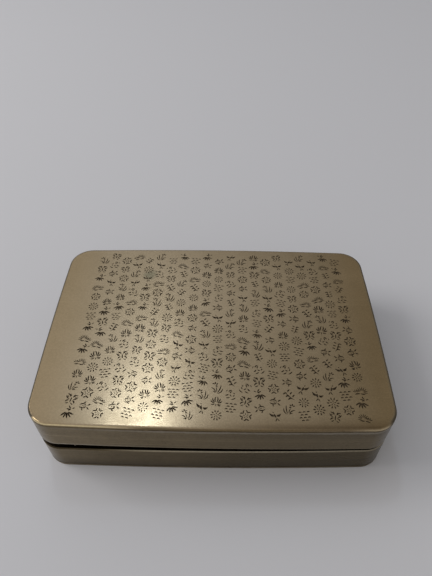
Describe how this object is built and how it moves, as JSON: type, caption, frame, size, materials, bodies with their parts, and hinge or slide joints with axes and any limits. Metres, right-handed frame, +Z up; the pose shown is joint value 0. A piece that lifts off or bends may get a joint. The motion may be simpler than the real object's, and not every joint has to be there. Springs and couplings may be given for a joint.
{
  "type": "ink stick and stone box",
  "caption": "Flat rectangular brass desk box with a lift-off lid, holding an ink stick, an ink pad and a slate in the lid.",
  "frame": {"origin": "on the surface the box stands on, under the middle of the box", "axes": "+X along the long sides, with the ink stick's well towards +X; +Y to the back; +Z up"},
  "size_m": [0.1403, 0.0956, 0.0352],
  "materials": {
    "brushed_brass": "brushed along the length, aged, lacquer worn off",
    "red_copper": "hammered red copper, dulled, ink stained",
    "slate": "fine honed slate",
    "lacquer_putty": "dark lacquer and ash putty",
    "inked_silk": "matted silk floss, black with ink",
    "pressed_ink": "pressed soot and glue, satin"
  },
  "bodies": {
    "base": {"base_floor_plate": "brushed_brass", "base_wall_band": "brushed_brass", "inner_lip": "brushed_brass", "copper_liner": "red_copper", "well_partition": "red_copper", "silk_wadding": "inked_silk"},
    "stick": {"ink_stick": "pressed_ink"},
    "lid": {"lid_top_plate": "brushed_brass", "lid_wall_band": "brushed_brass", "slab_bed": "lacquer_putty", "slate_slab": "slate", "slab_frame": "brushed_brass"}
  },
  "joints": [
    {"name": "stick_lift", "type": "slide", "parent": "base", "child": "stick", "axis": [0, 0, 1], "range_m": [0, 0.03]},
    {"name": "lid_lift", "type": "slide", "parent": "stick", "child": "lid", "axis": [0, 0, 1], "range_m": [0, 0.06]}
  ]
}
